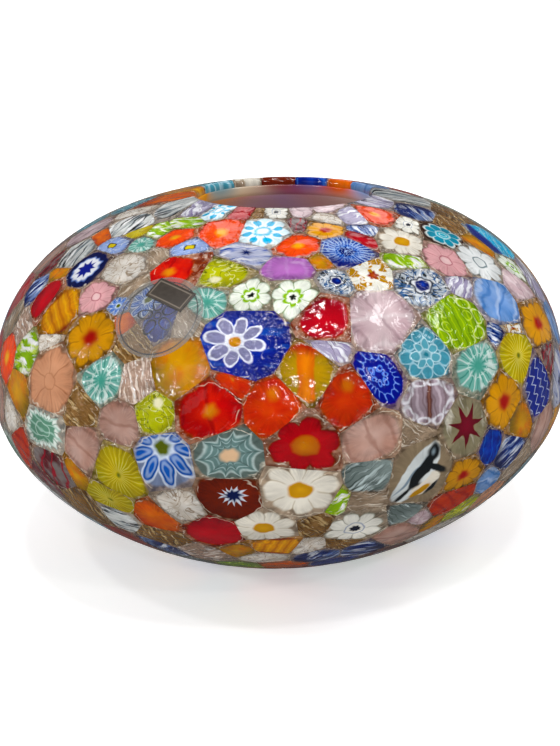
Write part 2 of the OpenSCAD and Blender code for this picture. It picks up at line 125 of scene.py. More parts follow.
def axes_at(point):
    """Right, up and outward directions on the skin at a point."""
    normal = outward(point[None])[0]
    az = math.atan2(point[0], -point[1])
    right = np.array([math.cos(az), math.sin(az), 0])
    return right, np.cross(normal, right), normal


def mouth_gap(points):
    """Distance from the wall of the mouth."""
    return np.hypot(points[:, 0] - MOUTH_SHIFT, points[:, 1]) - MOUTH_R


# ------------------------------------------------------------ reading the CAD's slices
def welded(obj):
    """The CAD mesh's points and triangles, with doubled points made one."""
    mesh = obj.data
    mesh.calc_loop_triangles()
    co = np.empty(len(mesh.vertices) * 3)
    mesh.vertices.foreach_get("co", co)
    co = co.reshape(-1, 3)
    tri = np.empty(len(mesh.loop_triangles) * 3, int)
    mesh.loop_triangles.foreach_get("vertices", tri)
    _, first, same = np.unique(np.round(co / WELD), axis=0, return_index=True, return_inverse=True)
    return co[first], same.ravel()[tri].reshape(-1, 3)


def solids(obj):
    """The triangles of each separate solid of a CAD node."""
    points, tri = welded(obj)
    label = np.arange(len(points))
    while True:
        low = label[tri].min(1)
        new = label.copy()
        for k in range(3):
            np.minimum.at(new, tri[:, k], low)
        if (new == label).all():
            break
        label = new
    found = [(points, tri[label[tri[:, 0]] == part]) for part in np.unique(label[tri[:, 0]])]
    return sorted(found, key=lambda s: tuple(np.round(s[0][s[1]].mean((0, 1)), 4)))


def outline_of(points, tri):
    """The outline of a solid's outer face, in order, counterclockwise from outside."""
    depth = reach(latitude(points)) - np.linalg.norm(points - CENTRE, axis=1)
    top = tri[(depth[tri] < SLICE_T / 3).all(1)]
    follows = {}
    edges = {(a, b) for t in top for a, b in ((t[0], t[1]), (t[1], t[2]), (t[2], t[0]))}
    for a, b in edges:
        if (b, a) not in edges:
            follows[a] = b
    loops = []
    while follows:
        start, here = next(iter(follows.items()))
        del follows[start]
        loop = [start]
        while here in follows:
            loop.append(here)
            here = follows.pop(here)
        loops.append(loop)
    return points[max(loops, key=len)]


def resampled(loop):
    """The outline with its corners kept and its sides cut into even steps."""
    back = loop - np.roll(loop, 1, 0)
    ahead = np.roll(loop, -1, 0) - loop
    cosine = (back * ahead).sum(1) / (np.linalg.norm(back, axis=1) * np.linalg.norm(ahead, axis=1))
    corners = np.flatnonzero(cosine < math.cos(math.radians(CORNER_TURN)))
    if len(corners) < 2:
        corners = np.array([0, len(loop) // 2])
    result = []
    for a, b in zip(corners, np.roll(corners, -1)):
        index = np.arange(a, b + 1 if b > a else b + len(loop) + 1) % len(loop)
        side = loop[index]
        run = np.concatenate([[0], np.cumsum(np.linalg.norm(np.diff(side, axis=0), axis=1))])
        steps = max(1, math.ceil(run[-1] / OUTLINE_STEP))
        where = np.linspace(0, run[-1], steps + 1)[:-1]
        result.append(np.stack([np.interp(where, run, side[:, k]) for k in range(3)], 1))
    return np.concatenate(result)


# ------------------------------------------------------------------- building surfaces
def placed(name, data):
    """A new object in the scene."""
    obj = bpy.data.objects.new(name, data)
    bpy.context.scene.collection.objects.link(obj)
    return obj


class Surface:
    """Collects closed shells on the skin and makes one piece of them."""

    def __init__(self):
        self.points, self.faces, self.sharp = [], [], []
        self.cane, self.seed = [], []

    def shell(self, loop, centre, top_depth, bottom_depth, cane, seed, at_mouth=None):
        """A closed shell over loop. top_depth gives the face's depth at a share of the way
        out, cane gives where points lie on the cane, and seed tells slices apart."""
        start = sum(len(p) for p in self.points)
        n = len(loop)
        at_mouth = np.zeros(n, bool) if at_mouth is None else at_mouth
        layers = [on_skin(centre[None], top_depth(0))]
        layers += [on_skin(centre + t * (loop - centre), top_depth(t)) for t in RINGS[1:]]
        layers = [rounded_lip(layer) for layer in layers]
        under = on_skin(loop, bottom_depth)
        plumb = on_skin(loop) - [0, 0, SLICE_T]
        under[at_mouth] = plumb[at_mouth]
        layers += [under, on_skin(centre[None], bottom_depth)]
        self.points += layers
        shares = [np.zeros((1, 1))] + [np.full((n, 1), t) for t in RINGS[1:]]
        flat = [cane(layer, share[:, 0]) for layer, share in zip(layers, shares)]
        self.cane += flat + [flat[-1], flat[0]]
        self.seed += [np.full(sum(len(layer) for layer in layers), seed)]
        here = np.arange(n)
        ahead = (here + 1) % n
        rows = [start + 1 + k * n for k in range(len(RINGS))]
        last = start + 1 + len(RINGS) * n
        self.faces += [(start, rows[0] + a, rows[0] + b) for a, b in zip(here, ahead)]
        for low, high in zip(rows[:-1], rows[1:]):
            self.faces += [(low + a, high + a, high + b, low + b) for a, b in zip(here, ahead)]
        self.faces += [(rows[-1] + a, last, rows[-1] + b) for a, b in zip(here, ahead)]
        rim, foot = rows[-2], rows[-1]
        for a, b in zip(here, ahead):
            if not (at_mouth[a] and at_mouth[b]):
                self.sharp.append((rim + a, rim + b))
            self.sharp.append((foot + a, foot + b))

    def piece(self, name, material):
        mesh = bpy.data.meshes.new(name)
        points = np.concatenate(self.points)
        mesh.from_pydata(points.tolist(), [], self.faces)
        mesh.polygons.foreach_set("use_smooth", [True] * len(mesh.polygons))
        marked = {tuple(sorted(pair)) for pair in self.sharp}
        sharp = [tuple(sorted(e.vertices)) in marked for e in mesh.edges]
        mesh.attributes.new("sharp_edge", "BOOLEAN", "EDGE").data.foreach_set("value", sharp)
        cane = mesh.attributes.new("cane", "FLOAT_VECTOR", "POINT")
        cane.data.foreach_set("vector", np.concatenate(self.cane).ravel())
        seed = mesh.attributes.new("seed", "FLOAT", "POINT")
        seed.data.foreach_set("value", np.concatenate(self.seed))
        mesh.validate()
        mesh.materials.append(material)
        return placed(name, mesh)


def rounded_lip(points):
    """Points beside the mouth sink along a quarter round."""
    inside = np.clip(LIP_R - np.maximum(mouth_gap(points), 0), 0, LIP_R)
    near = (points[:, 2] > CENTRE[2] + DOME_H / 2) & (inside > 0)
    sink = LIP_R - np.sqrt(LIP_R ** 2 - inside ** 2)
    result = points.copy()
    result[near, 2] -= sink[near]
    return result


# Angles an outline is sampled at, how many waves of it the cane's round rim keeps, and the
# share of that rim that lies outside the slice.
ANGLES, WAVES, OUTSIDE = 72, 2, 0.3


def smooth_radius(angles, radii):
    """The outline's radius as a function of the angle, as it is, and rounded off."""
    even = np.linspace(-math.pi, math.pi, ANGLES, endpoint=False)
    order = np.argsort(angles)
    a, r = angles[order], radii[order]
    a = np.concatenate([a[-1:] - 2 * math.pi, a, a[:1] + 2 * math.pi])
    r = np.concatenate([r[-1:], r, r[:1]])
    full = np.interp(even, a, r)
    waves = np.fft.rfft(full)
    waves[WAVES + 1:] = 0
    soft = np.fft.irfft(waves, ANGLES)
    soft *= np.quantile(full / soft, OUTSIDE)

    def sharp(angle):
        return np.interp(angle, a, r)

    def round_off(angle):
        return np.interp(angle, even, soft, period=2 * math.pi)

    return sharp, round_off


class CaneMap:
    """Where a point of a slice lies on its cane: 1 is the rim, whatever the outline."""

    # How far the cane's own rim follows the corners of the slice.
    SHARPNESS = 0.33

    def __init__(self, loop, centre, at_mouth, turn, shift, zoom):
        self.centre = centre
        self.right, self.up, _ = axes_at(centre)
        x, y = self.flat(loop)
        radii = np.hypot(x, y) * np.where(at_mouth, CUT_WIDER, 1)
        self.sharp, self.soft = smooth_radius(np.arctan2(y, x), radii)
        self.turn, self.shift, self.zoom = math.radians(turn), shift, zoom

    def flat(self, points):
        rel = points - self.centre
        return rel @ self.right, rel @ self.up

    def __call__(self, points, share):
        x, y = self.flat(points)
        angle = np.arctan2(y, x)
        width = self.soft(angle) * (1 - self.SHARPNESS) + self.sharp(angle) * self.SHARPNESS
        rim = np.hypot(x, y) / width
        u = (rim * np.cos(angle) - self.shift[0]) / self.zoom
        v = (rim * np.sin(angle) - self.shift[1]) / self.zoom
        c, s = math.cos(self.turn), math.sin(self.turn)
        return np.stack([c * u + s * v, c * v - s * u, rim], 1)


# ------------------------------------------------------------- writing shaders as sums
def colour(text):
    """Linear colour of a hexadecimal screen colour."""
    parts = [int(text[k:k + 2], 16) / 255 for k in (0, 2, 4)]
    return tuple(p / 12.92 if p < 0.04 else ((p + 0.055) / 1.055) ** 2.4 for p in parts) + (1,)


# Every soft step is this many times as soft as its caller says.
BLUR = 1.5


def join(tree, value, socket):
    """Links a wire to a socket, or sets the socket to a plain value."""
    if isinstance(value, Wire):
        tree.links.new(value.socket, socket)
    else:
        socket.default_value = value


def add_node(tree, kind, inputs=None, **settings):
    """A new shader node with its settings, and with values or wires on its inputs."""
    node = tree.nodes.new("ShaderNode" + kind)
    for name, value in settings.items():
        setattr(node, name, value)
    for key, value in (inputs or {}).items():
        join(tree, value, node.inputs[key])
    return node


def wire_from(tree, kind, output, inputs=None, **settings):
    """The output of a new shader node."""
    return Wire(tree, add_node(tree, kind, inputs, **settings).outputs[output])


class Wire:
    """A number or colour in a shader, which sums and products can be written with."""

    def __init__(self, tree, socket):
        self.tree, self.socket = tree, socket

    def math(self, operation, *others):
        return wire_from(self.tree, "Math", 0, dict(enumerate((self, *others))), operation=operation)

    def __add__(self, other):
        return self.math("ADD", other)

    def __sub__(self, other):
        return self.math("SUBTRACT", other)

    def __mul__(self, other):
        return self.math("MULTIPLY", other)

    def __truediv__(self, other):
        return self.math("DIVIDE", other)

    def power(self, other):
        return self.math("POWER", other)

    def sin(self):
        return self.math("SINE")

    def cos(self):
        return self.math("COSINE")

    def size(self):
        return self.math("ABSOLUTE")

    def larger(self, other):
        return self.math("MAXIMUM", other)

    def root(self):
        return self.math("SQRT")

    def flip(self):
        return self * -1 + 1

    def above(self, edge, soft):
        """0 under the edge and 1 over it, with a soft step between."""
        inputs = {"Value": self, "From Min": edge - soft * BLUR, "From Max": edge + soft * BLUR}
        return wire_from(self.tree, "MapRange", "Result", inputs, interpolation_type="SMOOTHSTEP")

    def below(self, edge, soft):
        return self.above(edge, soft).flip()


def new_material(name):
    material = bpy.data.materials.new(name)
    material.use_nodes = True
    return material


def finished(material, inputs):
    """The material, with values or wires on its shader's inputs."""
    tree = material.node_tree
    for name, value in inputs.items():
        join(tree, value, tree.nodes["Principled BSDF"].inputs[name])
    return material


# Seeds lie between 0 and 1, and this sets their noises far apart.
SEED_SPREAD = 50
RIM_WARP = 0.2


class Painter:
    """Builds one material, colour over colour, from the rim of the cane inwards."""

    def __init__(self, name, warp=0.09):
        self.material = new_material(name)
        self.tree = self.material.node_tree
        x, y, rim = self.split(wire_from(self.tree, "Attribute", "Vector", attribute_name="cane"))
        self.seed = wire_from(self.tree, "Attribute", "Fac", attribute_name="seed")
        self.place = self.vector(x, y, self.seed * SEED_SPREAD)
        bend = self.split(self.noise(2.3, detail=1, output="Color"))
        self.x = x + (bend[0] - 0.5) * (2 * warp)
        self.y = y + (bend[1] - 0.5) * (2 * warp)
        self.rim = rim + (bend[2] - 0.5) * RIM_WARP
        self.r = (self.x * self.x + self.y * self.y).root()
        self.angle = self.y.math("ARCTAN2", self.x)
        self.height = self.noise(1.6, detail=1) * 0.6
        self.now = None

    def split(self, vector):
        """The three parts of a vector."""
        node = add_node(self.tree, "SeparateXYZ", {0: vector})
        return [Wire(self.tree, socket) for socket in node.outputs]

    def vector(self, x, y, z):
        return wire_from(self.tree, "CombineXYZ", 0, {0: x, 1: y, 2: z})

    def turned(self, turn, at=None):
        """The place across and along a direction, turned by an angle in degrees."""
        c, s = math.cos(math.radians(turn)), math.sin(math.radians(turn))
        x, y = (self.x - at[0], self.y - at[1]) if at else (self.x, self.y)
        return x * c + y * s, y * c - x * s

    def noise(self, scale, detail=2, distortion=0.0, output="Fac", place=None):
        inputs = {
            "Vector": place or self.place, "Scale": scale, "Detail": detail,
            "Distortion": distortion}
        return wire_from(self.tree, "TexNoise", output, inputs)

    def mix(self, share, a, b):
        return wire_from(self.tree, "Mix", 2, {0: share, 6: a, 7: b}, data_type="RGBA")

    def over(self, mask, tone, raise_by=0.0):
        """Paints a tone where the mask is 1, and lifts the surface there."""
        tone = colour(tone) if isinstance(tone, str) else tone
        self.now = tone if self.now is None else self.mix(mask, self.now, tone)
        if raise_by:
            self.height = self.height + mask * raise_by

    def edge(self, size, lobes, bite, shape):
        """The radius of a lobed outline: round petals, sharp points or a soft wave."""
        if not lobes:
            return size
        if shape == "wave":
            dent = (self.angle * lobes).cos() * -0.5 + 0.5
        elif shape == "point":
            dent = (self.angle * (lobes / 2)).sin().size().power(0.7)
        else:
            dent = (self.angle * (lobes / 2)).cos().size().flip().power(1.5)
        return (dent * -bite + 1) * size

    def outline(self, _, size, lobes=0, bite=0.15, shape="round", *, wider, **__):
        """The radius of the outline of a disc layer, made wider."""
        return self.edge(size * wider, lobes, bite, shape)

    # Each of these paints one layer of a cane. Lengths are shares of the cane's radius.
    def disc(self, tone, size, lobes=0, bite=0.15, shape="round", soft=0.04, to=None, at=None):
        r = self.r
        if at:
            r = ((self.x - at[0]).power(2) + (self.y - at[1]).power(2)).root()
        if shape == "square":
            r = self.x.size().larger(self.y.size()) * 1.12
        mask = (r - self.edge(size, lobes, bite, shape)).below(0, soft)
        tone = colour(tone)
        # With to, the disc turns to a second tone towards its middle; every cane gives a lighter one, so
        # this is painted shade: the glass darker at its edge and brighter in the middle.
        if to:
            tone = self.mix((r / size).below(0.45, 0.4), tone, colour(to))
        self.over(mask, tone, 0.12)

    def blade(self, tone, at, size, turn, soft=0.06):
        """An oval at a place, turned by an angle in degrees."""
        along, side = self.turned(turn, at)
        along, side = along / size[0], side / size[1]
        self.over((along * along + side * side).root().below(1, soft / size[1] * 0.3), tone, 0.1)

    def ring(self, tone, size, width, lobes=0, bite=0.15, shape="round", soft=0.02):
        mask = (self.r - self.edge(size, lobes, bite, shape)).size().below(width / 2, soft)
        self.over(mask, tone, 0.15)

    def rays(self, tone, count, inner, outer, width, soft=0.02, turn=0.0):
        line = ((self.angle + turn) * (count / 2)).sin().size() * self.r * (2 / count)
        mask = line.below(width, soft) * self.r.above(inner, 0.05) * self.r.below(outer, 0.05)
        self.over(mask, tone, 0.1)

    def petals(self, line, count, at, size, fill=None, width=0.2, turn=0.0):
        """A ring of outlined oval petals."""
        sector = 2 * math.pi / count
        fold = (self.angle + turn + 4 * math.pi).math("MODULO", sector) - sector / 2
        along = (self.r - at) / size[0]
        side = self.r * fold / size[1]
        oval = (along * along + side * side).root()
        if fill:
            self.over(oval.below(1, 0.08), fill)
        self.over((oval - 1).size().below(width, width * 0.6), line, 0.25)

    def stripes(self, tone, period, share, turn=0.0, wave=0.08, soft=0.1, lean=0.0):
        """Wavy bands that run up the cane, turned by an angle in degrees."""
        across, _ = self.turned(turn)
        sway = (self.noise(1.7, detail=1) - 0.5) * (wave * 2.6)
        band = ((across + sway + lean) * (2 * math.pi / period)).cos()
        self.over(band.above(math.cos(math.pi * share), soft), tone, 0.15)

    def zigzag(self, tone, period, swing, gap, width, turn=0.0):
        along, across = self.turned(turn)
        tooth = along.math("PINGPONG", period / 2) * (swing / (period / 2))
        line = (across + tooth).math("PINGPONG", gap / 2)
        self.over(line.below(width, width * 0.5), tone, 0.2)

    def swirl(self, tone, scale, width, curl=1.5, soft=0.6, detail=1):
        """Curling lines where a warped noise crosses its middle."""
        line = (self.noise(scale, detail=detail, distortion=curl) - 0.5).size()
        self.over(line.below(width, width * soft), tone, 0.2)

    def flecks(self, tone, scale, level, soft=0.03, detail=1, lift=0.2):
        self.over(self.noise(scale, detail=detail).above(level, soft), tone, lift)

    def tint(self, tone, turn, level, soft=0.3, share=1.0):
        """A tone that comes in from one side, the side that turn points to."""
        self.over(self.turned(turn)[0].above(level, soft) * share, tone)

    def fibres(self, tone, level, turn=0.0, fine=6.0, long=0.9, soft=0.05, share=1.0):
        """Fine streaks along the pull of the glass."""
        across, along = self.turned(turn)
        place = self.vector(across * fine, along * long, self.seed * 90 + level * 7)
        streaks = self.noise(1, detail=3, distortion=0.3, place=place)
        self.over(streaks.above(level, soft) * share, tone, 0.2)

    def bar(self, tone, width, turn=0.0, soft=0.05):
        self.over(self.turned(turn)[0].size().below(width / 2, soft), tone, 0.1)

    def cloud(self, tone, scale, share=0.5, level=0.5, soft=0.25):
        """A second tone that drifts through the glass."""
        self.over(self.noise(scale, detail=2).above(level, soft) * share, tone)


def layer(name):
    """A function that notes down one layer of a cane, for a Painter to paint."""
    return lambda *values, **named: (name, values, named)


disc, blade, ring, rays, petals, stripes, zigzag, swirl, flecks, tint, fibres, bar, cloud = map(
    layer, "disc blade ring rays petals stripes zigzag swirl flecks tint fibres bar cloud".split())


# --------------------------------------------------------------- the canes, one by one
# Every kind begins with the disc that its cane fills, and each layer lies on the last.
CANES = {
    "red_plain": [
        disc("a80014", 0.93, to="be0016"), tint("6c0012", 90, 0.5, 0.35), cloud("d01022", 2.0, 0.5)],
    "red_orange_centre": [
        disc("b20008", 0.99, 7, 0.05, "wave", to="d00a04"), cloud("e02000", 1.5, 0.7, 0.52, 0.14),
        stripes("86000a", 0.9, 0.06, 12, 0.12, 0.2),
        disc("d86810", 0.26, 5, 0.12, "wave", 0.08, "d88a20")],
    "red_flower": [
        disc("8c0012", 0.98, 6, 0.26), disc("b4000f", 0.93, 6, 0.26, soft=0.08),
        disc("b85a00", 0.37, soft=0.05, to="cc7a00")],
    "vermilion_blob": [
        disc("c41000", 0.99, to="d22400"), cloud("e04a00", 1.8, 0.7),
        disc("dc7200", 0.2, soft=0.12, at=(0.1, 0.45))],
    "salmon_red": [
        disc("b4483f", 0.98), cloud("c8685a", 3, 0.8), stripes("a03a34", 0.5, 0.3, 20, 0.1, 0.4)],
    "orange_flower": [
        disc("f03a00", 0.99, 7, 0.1), disc("ff4e04", 0.86, 7, 0.14, soft=0.08),
        rays("d83000", 7, 0.35, 0.9, 0.012), disc("ff8a10", 0.3, soft=0.05),
        disc("ffb428", 0.17, soft=0.05)],
    "orange_plain": [
        disc("dc4e00", 0.99), cloud("f07c08", 1.8, 0.9), tint("b83000", -90, 0.6, 0.3)],
    "amber_plain": [
        disc("c88600", 0.99, to="d89a08"), cloud("dc6c00", 1.5, 0.8, 0.55, 0.12),
        tint("8c6c00", 180, 0.5, 0.35)],
    "amber_daisy": [
        disc("b47800", 0.98, 8, 0.18), disc("de9800", 0.93, 8, 0.18, soft=0.05),
        rays("a06a00", 8, 0.42, 0.95, 0.014, turn=math.pi / 8),
        disc("c04a00", 0.34, 6, 0.15, "wave", 0.1), disc("aa0c04", 0.22, soft=0.08)],
    "amber_red_ends": [
        disc("e69400", 0.99), stripes("c46c00", 0.44, 0.2, 0, 0.05, 0.25),
        stripes("ffbc24", 0.44, 0.16, 0, 0.05, 0.3, 0.2), tint("8c1600", 90, 0.78, 0.12),
        tint("8c1600", -90, 0.82, 0.1)],
    "yellow_orange_stripe": [
        disc("b48c00", 0.99, to="d4a000"), bar("e86e00", 0.62), bar("ff8e10", 0.24, 0, 0.14),
        tint("c42400", 90, 0.72, 0.16)],
    "lime_scroll": [
        disc("6c9400", 0.98, to="8cb408"), petals("dde8b4", 9, 0.8, (0.17, 0.24), "86b010", 0.12, 0.31),
        petals("c4d888", 6, 0.46, (0.13, 0.16), None, 0.14, 0.31), bar("84ac04", 0.6, 0, 0.1),
        stripes("4c7400", 0.3, 0.1, 0, 0.06, 0.2), stripes("c0d85c", 0.3, 0.07, 0, 0.06, 0.2, 0.15)],
    "lime_white_stripe": [
        disc("8cba00", 0.98), fibres("5c8c04", 0.54, 0, 4, 0.9), fibres("dcec98", 0.53, 8, 4, 0.9),
        fibres("ffffff", 0.56, 14, 4, 1.2)],
    "lime_twist": [
        disc("8c8c24", 0.98, to="b4b44c"), cloud("c8cc74", 1.2, 0.8), swirl("e0e0a0", 1.3, 0.02, 1.2),
        swirl("646c14", 1.6, 0.016, 1.2), disc("eae6c8", 0.24, soft=0.06, at=(0.5, 0))],
    "pale_yellow_shell": [
        disc("b8ae4c", 0.99, 0, to="cfc878"), rays("8c8430", 26, 0.12, 1.1, 0.008),
        rays("e8e4a8", 26, 0.1, 1.1, 0.009, turn=0.12), cloud("c8a024", 1.4, 0.5),
        disc("6e7440", 0.08, soft=0.04)],
    "flesh_flower": [
        disc("a07260", 1.0, 6, 0.1), disc("cda08a", 0.96, 6, 0.12, soft=0.03),
        rays("946654", 6, 0.24, 0.92, 0.014), ring("a87c68", 0.25, 0.03), cloud("dab49e", 1.8, 0.5)],
    "flesh_plain": [
        disc("b08c80", 0.98, to="c0a298"), cloud("d0b8b0", 1.3, 0.8),
        stripes("96746a", 0.8, 0.08, 15, 0.12, 0.3)],
    "pink_plain": [
        disc("bea4aa", 0.99, to="d4bcc2"), cloud("e8d8da", 1.2, 0.9),
        stripes("f0e4e6", 0.9, 0.1, 30, 0.3, 0.3), stripes("9c868c", 0.85, 0.05, -25, 0.3, 0.2)],
    "pink_flower": [
        disc("c89aa0", 0.99, 7, 0.12), disc("e6bcbe", 0.94, 7, 0.14, soft=0.03),
        rays("c08c92", 7, 0.3, 0.93, 0.01), ring("a8747c", 0.27, 0.045), disc("edd0d0", 0.2)],
    "white_daisy_yellow": [
        disc("cfc4b4", 0.99, 8, 0.2), disc("f4efe4", 0.94, 8, 0.2, soft=0.04),
        rays("c4b8a4", 8, 0.44, 0.92, 0.012, turn=math.pi / 8),
        disc("ca8e00", 0.33, soft=0.04, to="e4a810")],
    "white_daisy_ring": [
        disc("b4bcbc", 0.99, 8, 0.26), disc("f6f8f8", 0.94, 8, 0.26, soft=0.03),
        rays("a8b4b4", 8, 0.46, 0.9, 0.012, turn=math.pi / 8), ring("7c8a8e", 0.27, 0.07),
        disc("e4e8e8", 0.2)],
    "white_daisy_dark": [
        disc("a8a89c", 0.99, 8, 0.24), disc("f2f0e8", 0.93, 8, 0.24, soft=0.03),
        rays("8c8c80", 8, 0.4, 0.9, 0.014, turn=math.pi / 8), ring("a0a8b8", 0.34, 0.05),
        disc("0c1024", 0.21, 8, 0.2, "wave", 0.03)],
    "white_ruffled": [
        disc("dcd2c6", 0.98, 9, 0.08), cloud("f8f4ee", 1.6, 0.9, 0.48, 0.12),
        swirl("a89888", 1.4, 0.016), rays("b8aa9a", 9, 0.3, 0.95, 0.012)],
    "white_black_stripe": [
        disc("dcdedc", 0.99), fibres("8a949a", 0.52, 0, 4, 0.6), fibres("16181c", 0.56, 5, 4, 0.6),
        fibres("ffffff", 0.6, 3, 5, 0.7)],
    "gold_white_red": [
        disc("f2f0e6", 0.99), flecks("b88410", 2.4, 0.52, 0.02, 1, 0.4), swirl("ffffff", 1.9, 0.02),
        disc("90260c", 0.24, 6, 0.3, "wave", 0.05), disc("b44818", 0.1)],
    "black_white_bird": [
        disc("908270", 1.0), blade("dfe4e4", (-0.12, 0.02), (0.98, 0.46), 52),
        blade("8c9aa6", (-0.34, -0.04), (0.66, 0.05), 50), blade("ece6da", (0.2, -0.3), (0.5, 0.3), 30),
        blade("c08c24", (0.02, -0.52), (0.34, 0.1), 28), blade("14181a", (0.02, 0.08), (0.62, 0.21), 54),
        blade("14181a", (0.48, 0.16), (0.4, 0.1), -28), blade("14181a", (0.4, -0.46), (0.3, 0.07), 40),
        blade("14181a", (-0.5, -0.58), (0.34, 0.06), 46),
        blade("e8ecea", (0.14, -0.1), (0.24, 0.08), 40), disc("14181a", 0.19, at=(0.38, 0.6)),
        disc("9aa8b0", 0.06, at=(0.36, 0.62))],
    "black_white_eye": [
        disc("ccd4dc", 1.0), swirl("10161c", 1.1, 0.05, 1.6), swirl("f8fafc", 1.25, 0.03, 1.6),
        swirl("54709a", 1.5, 0.022, 1.6), disc("1a2030", 0.5, 5, 0.25, "wave"),
        disc("f4f6fa", 0.4, 5, 0.25, "wave", 0.03), disc("101c6c", 0.28, soft=0.03),
        disc("3c50b4", 0.1, soft=0.06, at=(0.05, 0.06))],
    "navy_white_stripe": [
        disc("22306e", 0.99), fibres("8c9cc4", 0.5, 0, 4, 0.7), fibres("f0f4fc", 0.57, 5, 4, 0.7),
        tint("101848", 90, 0.5, 0.3)],
    "navy_ring_star": [
        disc("10174c", 1.0), disc("8c9ccc", 0.74, 12, 0.1, "wave"),
        disc("f2f4fa", 0.66, 12, 0.1, "wave"), disc("0a1a8c", 0.52, 9, 0.42, "point")],
    "cobalt_plain": [
        disc("101c78", 0.99, to="1c30a0"), cloud("3c5cc0", 2.2, 0.6, 0.55, 0.12),
        stripes("8ca4e0", 0.7, 0.05, 20, 0.3, 0.12)],
    "cobalt_flower": [
        disc("0c1c84", 1.7, to="1834a8"), fibres("6c80c8", 0.6, 80, 3, 0.6, share=0.6),
        disc("8c8aa8", 0.5, 8, 0.3), petals("eef0fa", 8, 0.62, (0.36, 0.21), "8c8ca8", 0.14),
        disc("e8ecf4", 0.25, soft=0.03), disc("c07c0c", 0.18, soft=0.03, to="d89420")],
    "cobalt_square_star": [
        disc("06128c", 0.98), rays("a4b8f0", 20, 0.62, 0.84, 0.02),
        ring("a4b8f0", 0.66, 0.03, 20, 0.1, "wave"), ring("b8c8f4", 0.34, 0.04, 6, 0.3, "wave"),
        petals("8ca4e8", 6, 0.3, (0.12, 0.09), None, 0.25)],
    "cobalt_zigzag": [
        disc("101f88", 0.99), zigzag("e6ecfa", 0.36, 0.28, 0.52, 0.035, 90), cloud("3048b0", 2, 0.5)],
    "blue_dense_star": [
        disc("1c3c9c", 0.99), rays("dce8fa", 30, 0.5, 1.1, 0.02), rays("9cb8e8", 22, 0.28, 0.7, 0.016),
        disc("14206c", 0.34, 9, 0.2, "wave"), swirl("b8ccf0", 3.6, 0.03), tint("0c1870", 120, 0.5, 0.2)],
    "blue_streak": [
        disc("c8cce0", 0.99, 12, 0.1, "point"), fibres("3458b0", 0.53, 90, 4, 0.7),
        fibres("f8f8fe", 0.55, 96, 4, 0.7), disc("18245e", 0.24, 7, 0.35, "point", 0.08)],
    "blue_white_olive": [
        disc("8892aa", 0.98), petals("dfe8f8", 9, 0.62, (0.4, 0.19), "5870ac", 0.12),
        petals("a4b6dc", 9, 0.6, (0.22, 0.08), "5c78c0", 0.3), disc("c4d0dc", 0.27, 6, 0.2, "point"),
        disc("56620e", 0.2, 5, 0.15, "wave")],
    "cyan_cobalt": [
        disc("5cc4f0", 0.99), stripes("a8e4fa", 0.4, 0.3, 90, 0.1, 0.3), swirl("eefaff", 1.8, 0.012),
        tint("08248c", -60, 0.45, 0.1)],
    "light_blue_flower": [
        disc("dff2f8", 0.98, 8, 0.26), petals("f4fbff", 8, 0.62, (0.25, 0.18), "6cc0e4", 0.22),
        rays("3c9cc8", 8, 0.3, 0.85, 0.012, turn=math.pi / 8), disc("8cd0ec", 0.34, 8, 0.2),
        disc("fbfdff", 0.22, soft=0.05)],
    "dark_outline_flower": [
        disc("33201a", 1.0), disc("eef4f0", 0.86, 8, 0.24), disc("3c8ca4", 0.78, 8, 0.26),
        rays("cfe8ec", 8, 0.38, 0.76, 0.012, turn=math.pi / 8), disc("d8ecec", 0.33),
        disc("5cb0c4", 0.27), ring("e8f4f4", 0.14, 0.03)],
    "periwinkle_plain": [
        disc("7698cc", 0.98, to="94b0e0"), cloud("b8cae8", 1.5, 0.6),
        stripes("cfdcf4", 0.8, 0.1, 10, 0.2, 0.3), stripes("5c7cb0", 0.7, 0.08, 0, 0.2, 0.3, 0.2)],
    "periwinkle_square": [
        disc("8498cc", 0.98), disc("b0c0e8", 0.9, soft=0.08), swirl("dfe8f8", 1.4, 0.02),
        disc("1c2418", 0.32, 0, 0, "square", 0.03), disc("dcc414", 0.23, 0, 0, "square", 0.03)],
    "turquoise_streak": [
        disc("82b6aa", 0.98, 14, 0.08, "point"), cloud("a4d2ca", 1.8, 0.6),
        fibres("e4f6f0", 0.6, 0, 4, 1.0), rays("eaf8f4", 13, 0.34, 0.96, 0.022),
        rays("4c8c80", 13, 0.2, 0.9, 0.016, turn=0.24), disc("6aa698", 0.24, 8, 0.2, "point", 0.08),
        ring("d4eee6", 0.56, 0.03, 13, 0.25, "point")],
    "teal_white_flower": [
        disc("5c8694", 0.99), petals("a8c8d4", 9, 0.74, (0.24, 0.24), "6898a8", 0.12),
        petals("bcd6de", 7, 0.38, (0.2, 0.15), "74a4b2", 0.14), disc("98bcc8", 0.15),
        disc("4c7c8a", 0.1)],
    "grey_teal_star": [
        disc("606c68", 1.0), disc("c8d6d4", 0.97, 10, 0.26, "point"),
        disc("6c8280", 0.91, 10, 0.28, "point", 0.05), ring("b4c6c6", 0.7, 0.035, 10, 0.28, "point"),
        ring("9cb0b0", 0.46, 0.03, 10, 0.28, "point"), rays("52625f", 10, 0.3, 0.85, 0.012),
        disc("e0c4aa", 0.25, 6, 0.08, "wave", soft=0.05)],
    "grey_teal_stripe": [
        disc("6e7876", 0.99), stripes("46504e", 0.3, 0.16, 0, 0.14, 0.25),
        fibres("323a38", 0.56, 0, 5, 0.8), fibres("c8d4d4", 0.57, 6, 5, 0.8),
        tint("9aa6a4", 90, 0.4, 0.4, 0.7)],
    "green_white_flower": [
        disc("96a890", 0.99, 7, 0.2), disc("f0f4ea", 0.94, 7, 0.22),
        rays("7c9464", 7, 0.42, 0.9, 0.016, turn=math.pi / 7), disc("86b81c", 0.46, 7, 0.3),
        disc("f6faf0", 0.3, 7, 0.2), disc("10160f", 0.16, 5, 0.3, "wave", 0.03)],
    "green_white_star": [
        disc("eaf2ec", 0.98, 16, 0.18, "point"), rays("6c8c7c", 16, 0.5, 1.0, 0.016, turn=0.2),
        disc("6c907e", 0.72, 16, 0.16, "point"), stripes("b0ccc0", 0.3, 0.2, 0, 0.15, 0.25),
